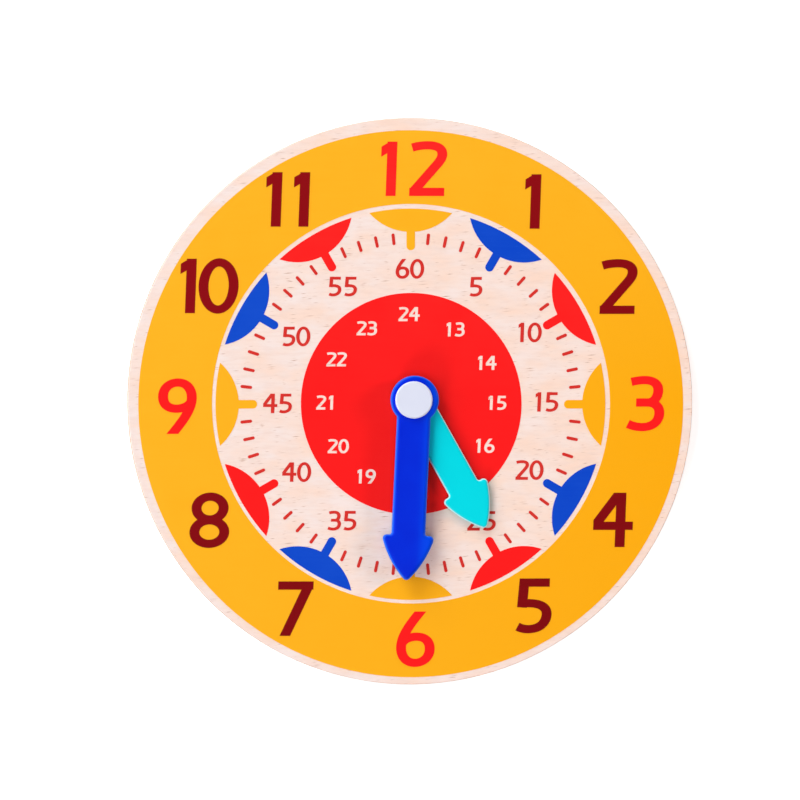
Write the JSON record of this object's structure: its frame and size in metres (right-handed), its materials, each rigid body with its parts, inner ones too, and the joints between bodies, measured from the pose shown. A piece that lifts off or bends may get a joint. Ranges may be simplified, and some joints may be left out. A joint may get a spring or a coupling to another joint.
{
  "type": "teaching clock",
  "caption": "Round printed wooden teaching clock with hour, minute and 24-hour numbers and two arrow hands that are turned by hand.",
  "frame": {"origin": "middle of the board's back face; the pivot is 0.9 mm right of it and 0.7 mm above it", "axes": "+Z out of the dial, +Y towards 12 o'clock, +X towards 3 o'clock"},
  "size_m": [0.3, 0.3, 0.0183],
  "materials": {
    "beech": "clear satin lacquer on beech-faced plywood",
    "blue_plastic": "moulded, soft gloss",
    "teal_plastic": "moulded, soft gloss",
    "white_plastic": "moulded, soft gloss",
    "clear_washer": "milky plastic",
    "yellow_ink": "screen ink, satin",
    "red_ink": "screen ink, satin",
    "blue_ink": "screen ink, satin",
    "maroon_ink": "screen ink, satin",
    "fine_red_ink": "screen ink, satin"
  },
  "bodies": {
    "dial": {"clock_board": "beech", "rear_retainer": "white_plastic", "hour_hand_washer": "clear_washer", "minute_hand_washer": "clear_washer", "pivot_cap": "white_plastic", "print_hour_band": "yellow_ink", "print_petals_yellow": "yellow_ink", "print_petals_blue": "blue_ink", "print_petals_red": "red_ink", "print_minute_ticks": "fine_red_ink", "print_centre_disc": "red_ink", "print_minute_numerals": "fine_red_ink", "print_hour_numerals_red": "red_ink", "print_hour_numerals_maroon": "maroon_ink"},
    "hour_hand": {"hour_hand": "teal_plastic"},
    "minute_hand": {"minute_hand": "blue_plastic"}
  },
  "joints": [
    {"name": "hour_hand_turn", "type": "hinge", "parent": "dial", "child": "hour_hand", "pos_m": [0.0009, 0.0007, 0.0104], "axis": [0, 0, 1], "continuous": true},
    {"name": "minute_hand_turn", "type": "hinge", "parent": "dial", "child": "minute_hand", "pos_m": [0.0009, 0.0007, 0.015], "axis": [0, 0, 1], "continuous": true}
  ]
}
